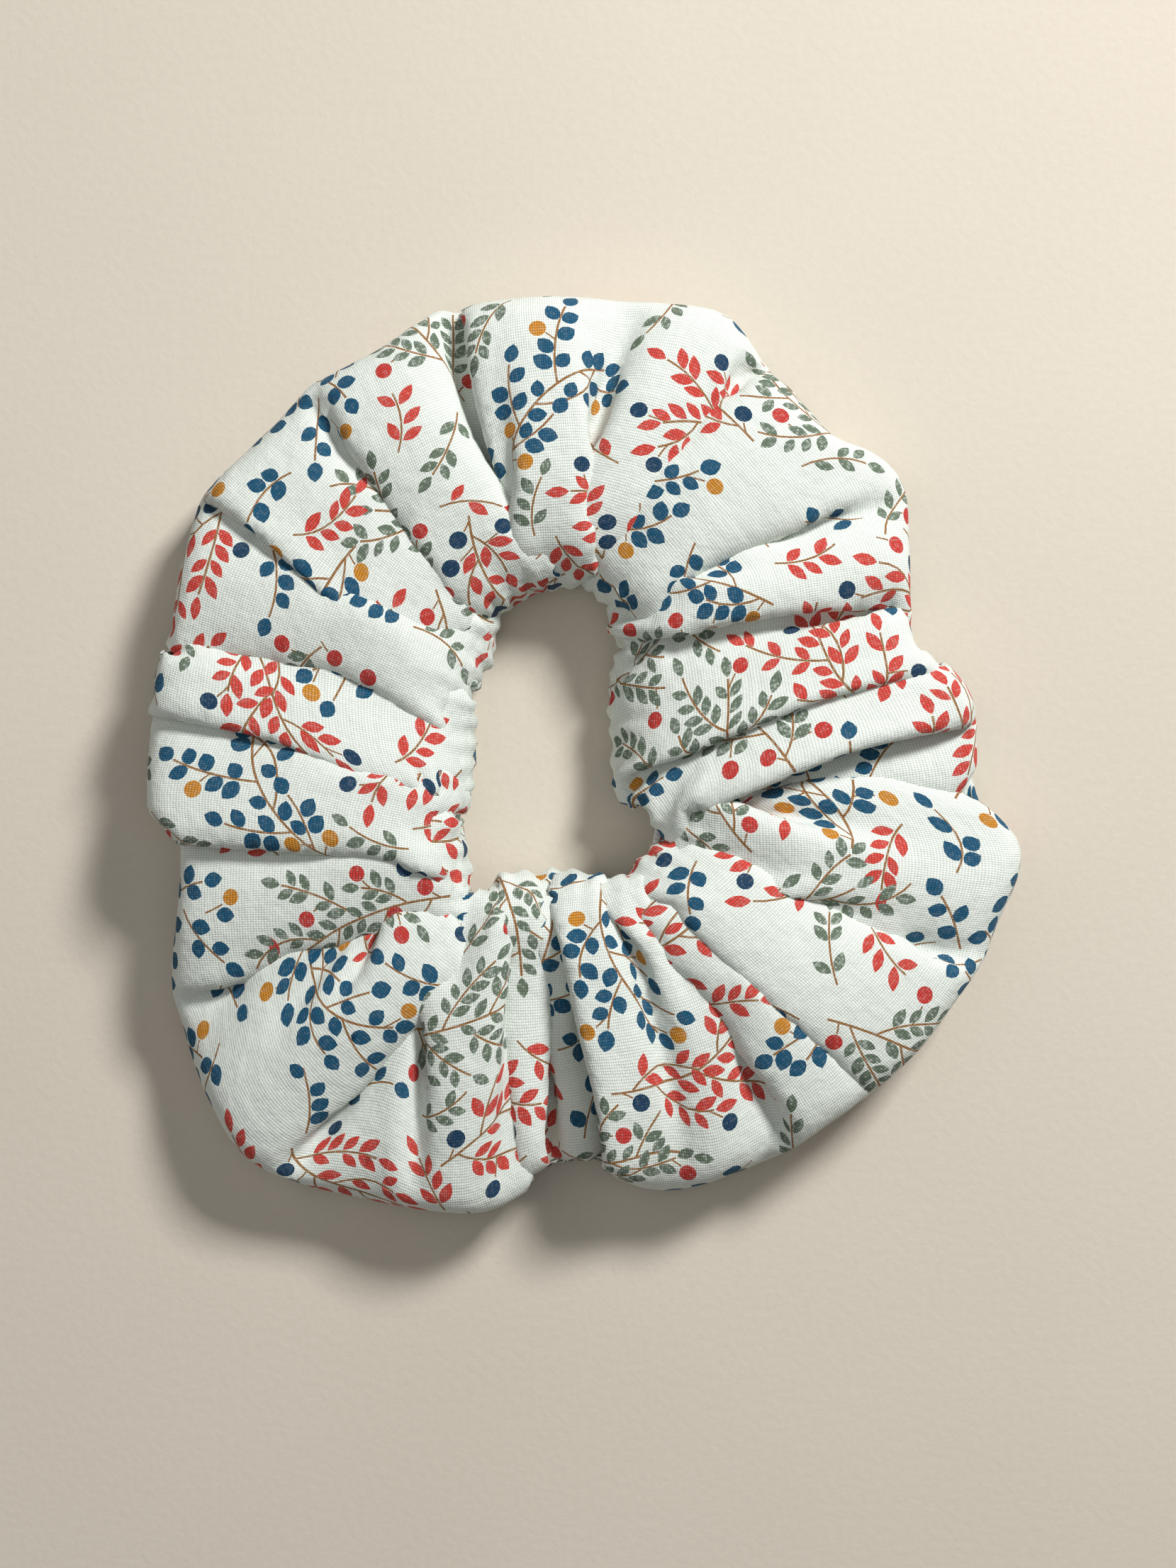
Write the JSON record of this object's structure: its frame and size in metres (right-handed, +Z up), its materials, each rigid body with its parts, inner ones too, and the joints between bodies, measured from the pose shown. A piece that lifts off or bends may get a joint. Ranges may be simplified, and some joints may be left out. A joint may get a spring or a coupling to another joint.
{
  "type": "scrunchie",
  "caption": "Gathered fabric hair ring: a printed cotton tube over a flat elastic loop that pulls open and springs back.",
  "frame": {"origin": "middle of the face that the ring rests on, at the bounding box's bottom centre", "axes": "+Z up out of the resting face, +Y along the hole's long axis (the way the ring pulls open), +X across the hole"},
  "size_m": [0.1235, 0.129, 0.0228],
  "materials": {
    "printed_cotton": "plain-weave cotton, cool white with a small printed pattern of sprigs, leaves and round berries; matt",
    "elastic_braid": "white flat braided elastic, lengthwise ribs, matt",
    "sewing_thread": "off-white spun polyester sewing thread, slight sheen"
  },
  "bodies": {
    "lower": {"cover_lower": "printed_cotton", "elastic_lower": "elastic_braid", "long_seam_thread_lower": "sewing_thread"},
    "mid_lower": {"cover_mid_lower": "printed_cotton", "elastic_mid_lower": "elastic_braid", "long_seam_thread_mid_lower": "sewing_thread"},
    "mid_upper": {"cover_mid_upper": "printed_cotton", "elastic_mid_upper": "elastic_braid", "elastic_lap_end": "elastic_braid", "elastic_join_stitches": "sewing_thread", "long_seam_thread_mid_upper": "sewing_thread", "closing_seam_thread": "sewing_thread"},
    "upper": {"cover_upper": "printed_cotton", "elastic_upper": "elastic_braid", "long_seam_thread_upper": "sewing_thread"}
  },
  "joints": [
    {"name": "stretch", "type": "slide", "parent": "lower", "child": "upper", "axis": [0, 1, 0], "range_m": [0, 0.045], "stiffness_N_per_m": 120},
    {"name": "stretch_mid_lower", "type": "slide", "parent": "lower", "child": "mid_lower", "axis": [0, 1, 0], "range_m": [0, 0.016]},
    {"name": "stretch_mid_upper", "type": "slide", "parent": "lower", "child": "mid_upper", "axis": [0, 1, 0], "range_m": [0, 0.031]}
  ],
  "couplings": [
    {"joint": "stretch_mid_lower", "follows": "stretch", "ratio": 0.33},
    {"joint": "stretch_mid_upper", "follows": "stretch", "ratio": 0.67}
  ]
}
